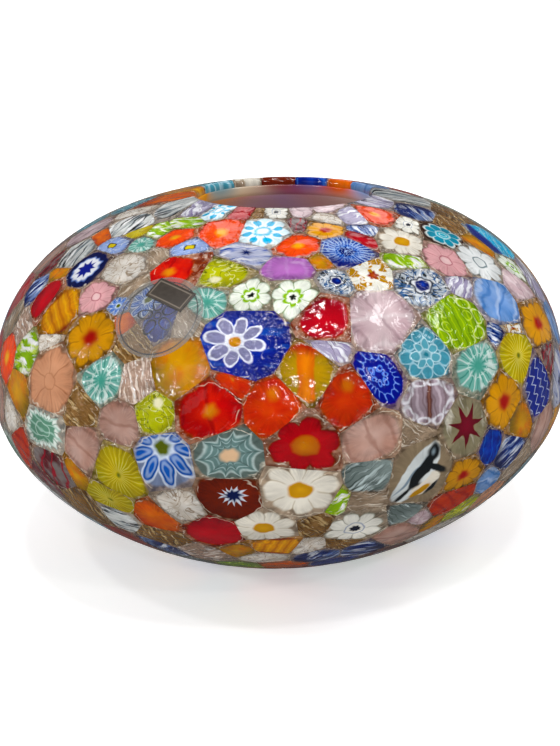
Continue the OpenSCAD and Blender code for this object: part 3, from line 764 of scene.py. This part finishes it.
        ring("c8dcd2", 0.34, 0.03)],
    "lavender_stripe": [
        disc("aca6bc", 0.98), fibres("8478a0", 0.52, 0, 4, 0.7), fibres("f6f6fc", 0.53, 5, 4, 0.7),
        fibres("6c6070", 0.64, -5, 5, 0.8)],
    "lavender_brown": [
        disc("9c8e96", 0.99, 6, 0.12), stripes("c8bcc4", 0.42, 0.2, 0, 0.04, 0.3),
        bar("50302c", 0.24, -8), bar("94746c", 0.06, -8),
        petals("eeecf2", 8, 0.86, (0.14, 0.26), None, 0.3),
        stripes("6c5a5c", 0.42, 0.06, 0, 0.06, 0.2, 0.2)],
    "mauve_plain": [
        disc("b07cb8", 0.99, to="c08cc4"), stripes("c8a0d0", 0.7, 0.12, 0, 0.05, 0.3),
        tint("7c5284", -90, 0.6, 0.2), cloud("c49acc", 1.6, 0.5)],
    "maroon_star": [
        disc("7e7860", 1.0, to="8c8468"), cloud("aca490", 1.3, 0.7), fibres("e4dfd2", 0.62, 0, 3.5, 0.7),
        disc("6a0a1e", 0.86, 7, 0.62, "point", 0.03), disc("84102a", 0.24, soft=0.15)],
    "maroon_grey": [
        disc("5c1620", 0.99), cloud("8c8684", 1.3, 0.9, 0.52, 0.1),
        stripes("b43c48", 0.6, 0.12, 30, 0.16, 0.2)],
    "brown_red_star": [
        disc("702a20", 0.99, to="8c3c2e"), cloud("5c2018", 2, 0.6),
        disc("e8eef8", 0.42, 13, 0.42, "point", 0.03), disc("18224e", 0.3, 9, 0.4, "point", 0.04)],
    # In brown_clear, clear_taupe and clear_sparkle the last, near-white fibres are painted glints:
    # sparkle highlights painted into the glass's colour.
    "brown_clear": [
        disc("74583e", 1.2), cloud("9c8064", 1.1, 0.9), fibres("48321e", 0.58, share=0.7),
        fibres("d0b894", 0.6, 8), fibres("fff2da", 0.7, 4, 8, 1.6)],
    "clear_taupe": [
        disc("8a7a6a", 1.2), cloud("a89888", 1.1, 0.9), fibres("5c4c3e", 0.62, 6, share=0.6),
        fibres("d6cabc", 0.6), fibres("fffaf0", 0.7, 4, 8, 1.6)],
    "clear_sparkle": [
        disc("a28e80", 1.2), cloud("c0a89c", 1.3, 0.9), fibres("705c50", 0.6, 8, share=0.7),
        fibres("f0e2d8", 0.56), fibres("ffffff", 0.66, 4, 8, 1.8)],
}

# Slices whose pattern is turned, moved or scaled one by one: kind, azimuth, latitude, turn in
# degrees, shift of the pattern's centre, and zoom. Angles match within ANGLE_MATCH.
POSED = [
    ("cobalt_flower", -6, 24, 10, (-0.26, 0.02), 0.72),
    ("red_orange_centre", -24, 39, 0, (-0.42, -0.1), 0.9),
    ("red_orange_centre", -12, 12, 0, (0.12, 0.05), 1), ("red_flower", 4, 6, 12, (-0.02, -0.02), 1),
    ("vermilion_blob", -1, 13, 0, (0, 0), 1), ("vermilion_blob", 12, 13, 0, (-0.05, 0.05), 1),
    ("yellow_orange_stripe", 5, 18, -4, (0, 0), 1), ("red_plain", 10, 28, 0, (0, 0), 0.92),
    ("grey_teal_star", -9, 5, 8, (0.02, 0.02), 1), ("brown_red_star", -9, -2, 0, (0.16, 0.14), 1.15),
    ("white_daisy_yellow", 3, -1, 5, (0.05, 0.14), 1),
    ("white_daisy_yellow", 39, 43, 0, (0.1, -0.05), 1),
    ("maroon_star", 33, 5, 10, (0.08, 0.05), 0.95), ("lavender_brown", 26, 12, 0, (0, 0), 1),
    ("teal_white_flower", 27, 19, 0, (0, 0), 1), ("lime_scroll", 37, 23, 0, (0, 0), 1),
    ("amber_daisy", -38, 22, 0, (0.03, 0.02), 1),
    ("blue_white_olive", -20, 3, 20, (-0.05, 0.5), 1.35),
    ("black_white_bird", 24, -1, 0, (0, 0), 1), ("black_white_eye", 34, 32, 0, (0.05, 0.05), 1),
    ("cobalt_square_star", 18, 16, 45, (-0.1, 0.05), 1), ("mauve_plain", 4, 39, 0, (0, 0), 1),
    ("periwinkle_square", -27, 45, 10, (-0.05, 0), 1),
    ("periwinkle_square", -53, 42, 20, (-0.1, -0.15), 1),
]
ANGLE_MATCH = 4


def posed(kind, az, lat, luck):
    """Turn, shift and zoom of a slice's pattern, drawn at random where it isn't posed."""
    for name, a, b, turn, shift, zoom in POSED:
        if name == kind and abs(a - az) < ANGLE_MATCH and abs(b - lat) < ANGLE_MATCH:
            return turn, shift, zoom
    shift = (luck.uniform(-0.12, 0.12), luck.uniform(-0.12, 0.12))
    return luck.uniform(0, 360), shift, luck.uniform(0.92, 1.08)


# Tones of the clear glass between canes, and the share of the cane's own tone in it. The last tone is a
# painted highlight: the pale glint lines painted where a cane meets the clear glass.
CLEAR, CLEAR_LIGHT, CLEAR_DARK, SPECK, PAINTED_GLINT = "7c6a5c", "b4a08e", "4e3e32", "efe2d2", "fbf2e2"
OWN_SHARE = 0.25
# A cane whose first disc is larger than this fills its slice.
RIMLESS = 1.1
SATURATION = 1.34
BUMP_DEPTH = 0.7 * MM
SLICE_IOR, BODY_IOR = 1.45, 1.5


def paint_jacket(p, own_tone):
    """The streaky clear glass round a cane."""
    streaks = p.noise(2.6, detail=3, distortion=0.8)
    p.over(1, CLEAR)
    p.over(streaks.above(0.52, 0.1), CLEAR_LIGHT)
    p.over(streaks.below(0.42, 0.07), CLEAR_DARK)
    p.over(p.noise(6, detail=1).above(0.68, 0.02) * 0.8, SPECK, 0.3)
    if own_tone:
        p.over(OWN_SHARE, own_tone)
    return p.now


def with_painted_glints(p, tone):
    """A tone with broken pale lines where the cane meets the clear glass: painted glints, highlight
    lines painted into the colour.
    """
    line = (p.rim + (p.noise(3.4, detail=1) - 0.5) * 0.3 - 0.98).size().below(0.016, 0.014)
    return p.mix(line * p.noise(2.1, detail=1).above(0.55, 0.05) * 0.7, tone, colour(PAINTED_GLINT))


def rippled(p, clear, pulled):
    """The normal of the fire-polished face: broad ripples, and finer ones in clear glass."""
    ripple = p.noise(1.15, detail=1) * 1.3 + p.noise(4.2, detail=1) * (clear * 0.95 + 0.02)
    crease = (p.noise(1.7, detail=2, distortion=0.6) - 0.5).size().below(0.012, 0.02)
    height = p.height * 0.22 + ripple + crease * (clear * 0.12 + 0.02) + pulled * 0.12
    return wire_from(p.tree, "Bump", 0, {"Strength": 1, "Distance": BUMP_DEPTH, "Height": height})


def cane_material(kind):
    """The material of one kind of cane: clear jacket, colour layers, gloss and ripple."""
    p = Painter("murrine_" + kind)
    _, values, named = CANES[kind][0]
    own_tone, size = values[:2]
    rimless = size > RIMLESS
    jacket = paint_jacket(p, None if rimless else own_tone)
    for name, layer_values, layer_named in CANES[kind]:
        getattr(p, name)(*layer_values, **layer_named)
    if rimless:
        shown = clear = p.rim.below(1.5, 0.05)
    else:
        inside = (p.r - p.outline(*values, wider=1.04, **named)).below(0, 0.06)
        shown = inside * (p.rim - p.seed * 0.17).below(0.97, 0.06)
        clear = shown.flip()
    # The cane's tone, with painted highlight lines along its rim.
    tone = with_painted_glints(p, p.mix(shown, jacket, p.now))
    around = p.vector(p.angle.cos() * 3.2, p.angle.sin() * 3.2, p.rim * 0.7 + p.seed * SEED_SPREAD)
    pulled = (p.noise(2.6, detail=3, place=around) - 0.5) * p.rim.above(0.62, 0.24)
    # Brightness from random tone and the pulled streaks, less a painted shade that darkens the glass
    # towards the cane's rim.
    shade = p.noise(1.1, detail=2) * 0.6 + 0.5 + pulled * 0.8 - p.rim.above(0.7, 0.3) * 0.12
    value = (p.seed - 0.5) * 0.2 + shade
    return finished(p.material, {
        "Base Color": wire_from(p.tree, "HueSaturation", 0, {
            "Saturation": SATURATION, "Value": value, "Color": tone}),
        "Roughness": p.noise(3, detail=2) * 0.04 + 0.02,
        "Normal": rippled(p, clear + p.rim.above(0.86, 0.1) * 0.6, pulled),
        "IOR": SLICE_IOR})


def build_slices():
    """One piece for each kind of cane. Returns every slice's place and main colour."""
    places = []
    for node in sorted(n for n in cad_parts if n.startswith("murrine_")):
        kind = node[len("murrine_"):]
        surface = Surface()
        for index, (points, tri) in enumerate(solids(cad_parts[node])):
            luck = random.Random(f"{node} {index}")
            loop = resampled(outline_of(points, tri))
            centre = on_skin(loop.mean(0)[None])[0]
            at_mouth = (mouth_gap(loop) < NEAR_MOUTH) & (loop[:, 2] > EQUATOR_Z)
            loop = on_skin(loop)
            away = loop - centre
            away /= np.linalg.norm(away, axis=1)[:, None]
            loop = loop + away * np.where(at_mouth, 0, SEAM / 2)[:, None]
            az = math.degrees(math.atan2(centre[0], -centre[1]))
            lat = math.degrees(latitude(centre[None])[0])
            cane = CaneMap(loop, centre, at_mouth, *posed(kind, az, lat, luck))
            crown = luck.uniform(*CROWN)

            def top(t):
                return TOP_DEPTH + crown * max(0, (t - FLAT_SHARE) / (1 - FLAT_SHARE)) ** FALL_POWER

            surface.shell(loop, centre, top, SLICE_T, cane, luck.random(), at_mouth)
            places.append((centre, colour(CANES[kind][0][1][0])))
        piece = surface.piece(kind, cane_material(kind))
        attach(piece, "root")
        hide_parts(node)
    return places


# -------------------------------------------------------------------- the clear body
INNER_R, INNER_H = BOWL_R - SLICE_T - WALL_T, DOME_H - SLICE_T - WALL_T
BODY_TURNS = 144
# The mouth's lower edge, inside, is rounded with this radius.
EDGE_R = 1.6 * MM
# Sections lose points from this one on, under the slices, until all have the same number.
SPARE_ROW = 70
BASE_DISH = 0.6 * MM


def inner_reach(lat):
    """Distance from the centre to the hollow's wall at a latitude, in radians."""
    high = np.where(lat >= 0, INNER_H, EQUATOR_Z - FLOOR_T)
    power = np.where(lat >= 0, DOME_POWER, WELL_POWER)
    return ((np.cos(lat) / INNER_R) ** power + (np.abs(np.sin(lat)) / high) ** power) ** (-1 / power)


def body_profile(angle):
    """Half section of the body at one angle: hollow, lip, hidden outside, base."""
    toward = MOUTH_SHIFT * math.cos(angle)
    mouth = toward + math.sqrt(MOUTH_R ** 2 - (MOUTH_SHIFT * math.sin(angle)) ** 2)

    def roof(rho):
        return EQUATOR_Z + INNER_H * (1 - (rho / INNER_R) ** DOME_POWER) ** (1 / DOME_POWER)

    def under_slices(rho):
        lat = math.atan2(DOME_H, rho)
        for _ in range(6):
            point = on_skin(np.array([[rho, 0, EQUATOR_Z + rho * math.tan(lat)]]), SLICE_T)[0]
            lat += (point[0] - rho) / BOWL_R * 1.2
        return point[2]

    start = math.atan2(roof(mouth + EDGE_R) - EQUATOR_Z, mouth + EDGE_R)
    lats = np.linspace(-math.pi / 2, start, 60)
    r = inner_reach(lats)
    hollow = np.stack([r * np.cos(lats), EQUATOR_Z + r * np.sin(lats)], 1)
    hollow[0, 0] = 0.2 * MM
    base_z = hollow[-1, 1]
    turn = np.linspace(0.2, 1, 5) * math.pi / 2
    lip = np.stack([mouth + EDGE_R * (1 - np.sin(turn)), base_z + EDGE_R * (1 - np.cos(turn))], 1)
    top = under_slices(mouth)
    wall = np.array([[mouth, top - 0.6 * MM], [mouth, top]])
    lat_low = -math.atan2(KEEL_H * 0.92, BASE_R)
    lat_top = math.atan2(top - EQUATOR_Z, mouth + 1 * MM)
    lats = np.linspace(lat_top, lat_low, 40)
    ray = np.stack([np.cos(lats), 0 * lats, np.sin(lats)], 1) * BOWL_R + CENTRE
    hidden = on_skin(ray, SLICE_T)[:, (0, 2)]
    hidden = hidden[hidden[:, 1] > 2 * MM]
    foot = np.array([
        [BASE_R + 2.6 * MM, 1.9 * MM], [BASE_R + 1.2 * MM, 0.7 * MM], [BASE_R, 0.1 * MM],
        [BASE_R - 1.2 * MM, 0], [BASE_R - 3 * MM, 0], [BASE_R - 3.6 * MM, 0.4 * MM],
        [BASE_R / 2, BASE_DISH], [0.2 * MM, BASE_DISH]])
    return np.concatenate([hollow, lip, wall, hidden, foot])


# Tones of the inside wall's upper part, by degrees to the right of the far side, the tone
# of its lower part, and a grey that lies over both in soft spots. The body shows these tones and also
# glows with them, as painted light.
GLOW = (
    (-110, "857464"), (-48, "8c7a62"), (-24, "b07a2e"), (-9, "7c6468"), (4, "5e3e60"),
    (17, "7e4646"), (34, "968a7c"), (52, "a2946a"), (110, "80705f"))
LOW_TONE, GREY_TONE = "7e6e60", "75685c"


def seen_through(points, places):
    """The colour of the slices behind each point, blurred by the thick glass."""
    spots = np.array([p for p, _ in places])
    tones = np.array([t[:3] for _, t in places])
    turn = np.degrees(np.arctan2(points[:, 0], points[:, 1]))
    glow_at = [a for a, _ in GLOW]
    glow = np.array([colour(t)[:3] for _, t in GLOW])
    glow = np.stack([np.interp(turn, glow_at, glow[:, k]) for k in range(3)], 1)
    high = np.clip((points[:, 2] - EQUATOR_Z - 14 * MM) / (18 * MM), 0, 1)[:, None]
    glow = glow * high + np.array(colour(LOW_TONE)[:3]) * (1 - high)
    near = np.clip((points[:, 2] - (EQUATOR_Z + DOME_H - 13 * MM)) / (9 * MM), 0, 1)
    near *= points[:, 2] > EQUATOR_Z
    result = np.empty((len(points), 3))
    for k in range(0, len(points), 2000):
        part = slice(k, k + 2000)
        gap = ((points[part, None] - spots[None]) ** 2).sum(2)
        blur = 11 * MM - 6.5 * MM * near[part, None]
        weight = np.exp(-gap / (2 * blur ** 2)) + 1e-9
        result[part] = weight @ tones / weight.sum(1)[:, None]
    share = (0.72 - 0.6 * near)[:, None]
    return result * (1 - share) + glow * share


def build_body(places):
    """The clear gather as one smooth closed piece."""
    turns = BODY_TURNS
    rows = [body_profile(2 * math.pi * k / turns) for k in range(turns)]
    count = min(len(r) for r in rows)
    rows = [np.delete(r, slice(SPARE_ROW, SPARE_ROW + len(r) - count), 0) for r in rows]
    points = []
    for k, row in enumerate(rows):
        a = 2 * math.pi * k / turns
        points += [(p[0] * math.cos(a), p[0] * math.sin(a), p[1]) for p in row]
    faces = []
    for k in range(turns):
        a, b = k * count, (k + 1) % turns * count
        faces += [(a + j, b + j, b + j + 1, a + j + 1) for j in range(count - 1)]
    faces.append(tuple(k * count for k in reversed(range(turns))))
    faces.append(tuple(k * count + count - 1 for k in range(turns)))
    mesh = bpy.data.meshes.new("glass_body")
    mesh.from_pydata(points, [], faces)
    mesh.polygons.foreach_set("use_smooth", [True] * len(mesh.polygons))
    behind = seen_through(np.array(points), places)
    data = mesh.attributes.new("behind", "FLOAT_COLOR", "POINT")
    data.data.foreach_set("color", np.concatenate([behind, np.ones((len(behind), 1))], 1).ravel())
    mesh.materials.append(body_material())
    obj = placed("glass_body", mesh)
    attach(obj, "root")
    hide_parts("clear_glass_body")


def body_material():
    """Thick glass painted with the colours behind it, and glowing with them a little: a painted glow
    that stands in for light coming through the glass.
    """
    material = new_material("clear_glass_body")
    tree = material.node_tree
    place = wire_from(tree, "TexCoord", "Object")
    behind = wire_from(tree, "Attribute", "Color", attribute_name="behind")
    spots = wire_from(tree, "TexNoise", "Fac", {"Scale": 90, "Detail": 2, "Vector": place})
    share = spots.above(0.5, 0.25) * 0.3 + 0.1
    grey = wire_from(tree, "Mix", 2, {0: share, 6: behind, 7: colour(GREY_TONE)}, data_type="RGBA")
    deep = wire_from(tree, "HueSaturation", 0, {"Saturation": 1.3, "Value": 0.95, "Color": grey})
    wave = wire_from(tree, "TexNoise", "Fac", {"Scale": 60, "Vector": place})
    bump = wire_from(tree, "Bump", 0, {"Strength": 0.2, "Distance": 1 * MM, "Height": wave})
    # The emission is painted light: the glass glows with the colours painted behind it.
    return finished(material, {
        "Base Color": deep, "Emission Color": deep, "Emission Strength": 0.5, "Normal": bump,
        "Roughness": 0.22, "IOR": BODY_IOR})


# ------------------------------------------------------------------------ the labels
def build_label(name, node, az, lat, outline, lean, low, high, material):
    """A thin sheet over the skin between two heights, with its outline given flat."""
    centre = spot(az, lat)
    right, up, _ = axes_at(centre)
    c, s = math.cos(math.radians(lean)), math.sin(math.radians(lean))
    loop = np.array([centre + right * (x * c - y * s) + up * (x * s + y * c) for x, y in outline])

    def flat(points, share):
        rel = points - centre
        a, b = rel @ right, rel @ up
        return np.stack([(a * c + b * s) / FILM_R, (b * c - a * s) / FILM_R, share], 1)

    def top(t):
        return -high + (high - low) * max(0, t - 0.97) * 20

    surface = Surface()
    surface.shell(loop, centre, top, -low, flat, 0.5)
    piece = surface.piece(name, material)
    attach(piece, "root")
    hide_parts(node)


def film_material():
    """Smoky see-through film with a plain fine ring and a small plain flower."""
    p = Painter("round_film_label", warp=0.0)
    ink = (p.r - 0.88).size().below(0.012, 0.008)
    sector = 2 * math.pi / 5
    fold = (p.angle + 4 * math.pi).math("MODULO", sector) - sector / 2
    oval = (((p.r - 0.3) / 0.17).power(2) + (p.r * fold / 0.11).power(2)).root()
    ink = ink.larger((oval - 1).size().below(0.12, 0.08))
    ink = ink.larger((p.r - 0.08).size().below(0.015, 0.01))
    tone = p.mix(p.noise(2.5, detail=2), colour("8c8a86"), colour("a8a6a0"))
    tone = p.mix(ink, tone, colour("23262e"))
    rough = p.noise(4, detail=2) * 0.15 + 0.2
    return finished(p.material, {"Base Color": tone, "Alpha": ink * 0.6 + 0.28, "Roughness": rough})


def tag_material():
    """Dark foil with a thin paler frame, and nothing written on it."""
    p = Painter("rectangle_label", warp=0.0)
    half_l, half_w, inset = TAG_L / 2 / FILM_R, TAG_W / 2 / FILM_R, 0.07
    frame_gap = (p.x.size() - half_l).larger(p.y.size() - half_w) + inset
    line = frame_gap.size().below(0.012, 0.01)
    brushed = p.noise(9, detail=4, distortion=0.4)
    tone = p.mix(brushed, colour("2c2620"), colour("453c34"))
    tone = p.mix(line * 0.7, tone, colour("8c8072"))
    return finished(p.material, {"Base Color": tone, "Roughness": brushed * 0.2 + 0.3})


def build_labels():
    turns = np.linspace(0, 2 * math.pi, 72, False)
    circle = [(FILM_R * math.cos(a), FILM_R * math.sin(a)) for a in turns]
    build_label("round_film", "round_film_label", FILM_AZ, FILM_LAT, circle, 0,
                FILM_LOW, FILM_HIGH, film_material())
    x, y, step = TAG_L / 2, TAG_W / 2, 12
    corners = [(-x, -y), (x, -y), (x, y), (-x, y)]
    outline = [
        (a[0] + (b[0] - a[0]) * k / step, a[1] + (b[1] - a[1]) * k / step)
        for a, b in zip(corners, corners[1:] + corners[:1]) for k in range(step)]
    build_label("rectangle_tag", "rectangle_label", TAG_AZ, TAG_LAT, outline, TAG_LEAN,
                TAG_LOW, TAG_LOW + LABEL_T, tag_material())


# --------------------------------------------------------------------------- the set
# The sky's strength for diffuse light and in reflections. The camera sees it at 1.
SKY, SKY_MIRRORED = 0.43, 0.08
FLOOR_SIZE = 60
# Area lamps: name, place, size and power.
LAMPS = [("key", (0.85, -0.1, 1.1), 0.35, 4), ("fill", (-1.1, -1.1, 0.8), 0.8, 1),
         ("back", (0.1, 1.2, 1.0), 0.7, 2)]
LAMPS += [(f"sparkle_{k}", place, 0.085, 2) for k, place in enumerate([
    (-0.62, -0.35, 1.2), (0.25, -0.6, 1.3), (-0.95, -0.8, 0.75), (0.1, -1.3, 0.8),
    (-1.25, -0.25, 0.6), (0.2, -0.15, 1.4), (-0.15, -0.3, 1.38), (0.75, -1, 0.9)])]
# The camera: lens and sensor in mm, shift, and its place from the middle of the bowl.
LENS, SENSOR, SHIFT = 60.3, 36, (0.0013, 0.004)
RISE, DISTANCE, ROLL = math.radians(18), 0.45, math.radians(1.7)


def floor_material():
    """Pale, darker in reflections, and glowing more away from the bowl."""
    material = new_material("floor")
    tree = material.node_tree
    dim = wire_from(tree, "LightPath", "Is Camera Ray") * 0.5 + 0.5
    dim = dim - wire_from(tree, "LightPath", "Is Glossy Ray") * 0.4
    place = wire_from(tree, "TexCoord", "Object")
    apart = wire_from(tree, "VectorMath", "Value", {0: place}, operation="LENGTH")
    far = apart.above(0.6, 0.3)
    return finished(material, {
        "Base Color": dim * 0.9, "Roughness": 0.9, "Specular IOR Level": 0.1,
        "Emission Color": (1, 1, 1, 1), "Emission Strength": dim * (far * 0.5 + 0.42)})


def build_set():
    """Pale floor, soft light and the camera."""
    bpy.ops.mesh.primitive_plane_add(size=FLOOR_SIZE, location=(0, 0, 0))
    floor = bpy.context.object
    floor.name = "floor"
    floor.data.materials.append(floor_material())

    world = bpy.data.worlds.new("world")
    bpy.context.scene.world = world
    world.use_nodes = True
    tree = world.node_tree
    seen = wire_from(tree, "LightPath", "Is Camera Ray")
    mirrored = wire_from(tree, "LightPath", "Is Glossy Ray")
    sky = tree.nodes["Background"]
    sky.inputs["Color"].default_value = (1, 1, 1, 1)
    strength = seen * (1 - SKY) + mirrored * (SKY_MIRRORED - SKY) + SKY
    join(tree, strength, sky.inputs["Strength"])

    for name, place, size, power in LAMPS:
        lamp(name, place, size, power)
    build_camera()


def build_camera():
    """The camera at the photo's viewing angle."""
    camera = bpy.data.cameras.new("camera")
    camera.lens, camera.sensor_width = LENS, SENSOR
    camera.shift_x, camera.shift_y = SHIFT
    obj = placed("camera", camera)
    back = Vector((0, -math.cos(RISE), math.sin(RISE)))
    look = (-back).to_track_quat("-Z", "Y").to_matrix().to_4x4()
    place = Matrix.Translation(Vector((0, 0, EQUATOR_Z)) + back * DISTANCE)
    obj.matrix_world = place @ look @ Matrix.Rotation(-ROLL, 4, "Z")
    bpy.context.scene.camera = obj
    bpy.context.scene.view_settings.view_transform = "Standard"


def lamp(name, place, size, power):
    """A square lamp that points at the middle of the bowl."""
    light = bpy.data.lights.new(name, "AREA")
    light.shape, light.size, light.energy = "SQUARE", size, power
    obj = placed(name, light)
    target = Vector((0, 0, EQUATOR_Z))
    obj.location = place
    obj.rotation_euler = (target - Vector(place)).to_track_quat("-Z", "Y").to_euler()


build_body(build_slices())
build_labels()
build_set()
